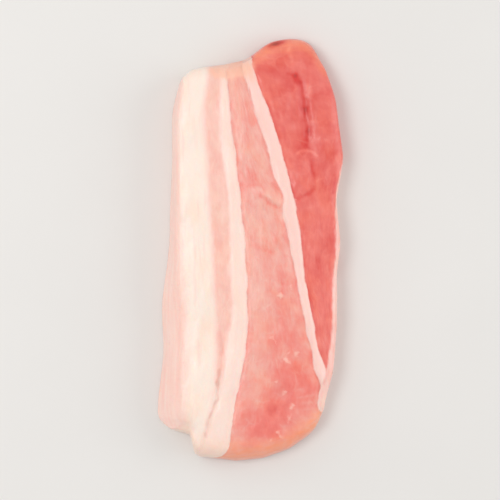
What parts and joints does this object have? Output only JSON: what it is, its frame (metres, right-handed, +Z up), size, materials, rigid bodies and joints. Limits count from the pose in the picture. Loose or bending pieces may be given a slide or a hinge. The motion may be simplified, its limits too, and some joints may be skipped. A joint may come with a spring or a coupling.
{
  "type": "pork belly slice",
  "caption": "Raw pork belly slice lying on a cut face, skin along a long side, with a thick fat layer and bands of lean and fat across its width.",
  "frame": {"origin": "middle of the slice's outline, on the flat underside it rests on", "axes": "+Z up out of the shown cut face, +Y along the slice towards its lean far end, skin at -X and the inner side at +X"},
  "size_m": [0.0564, 0.129, 0.0134],
  "materials": {
    "raw_pork": "moist raw lean and fat with a soft sheen"
  },
  "bodies": {
    "root": {"pork_belly_slice": "raw_pork"}
  },
  "joints": []
}
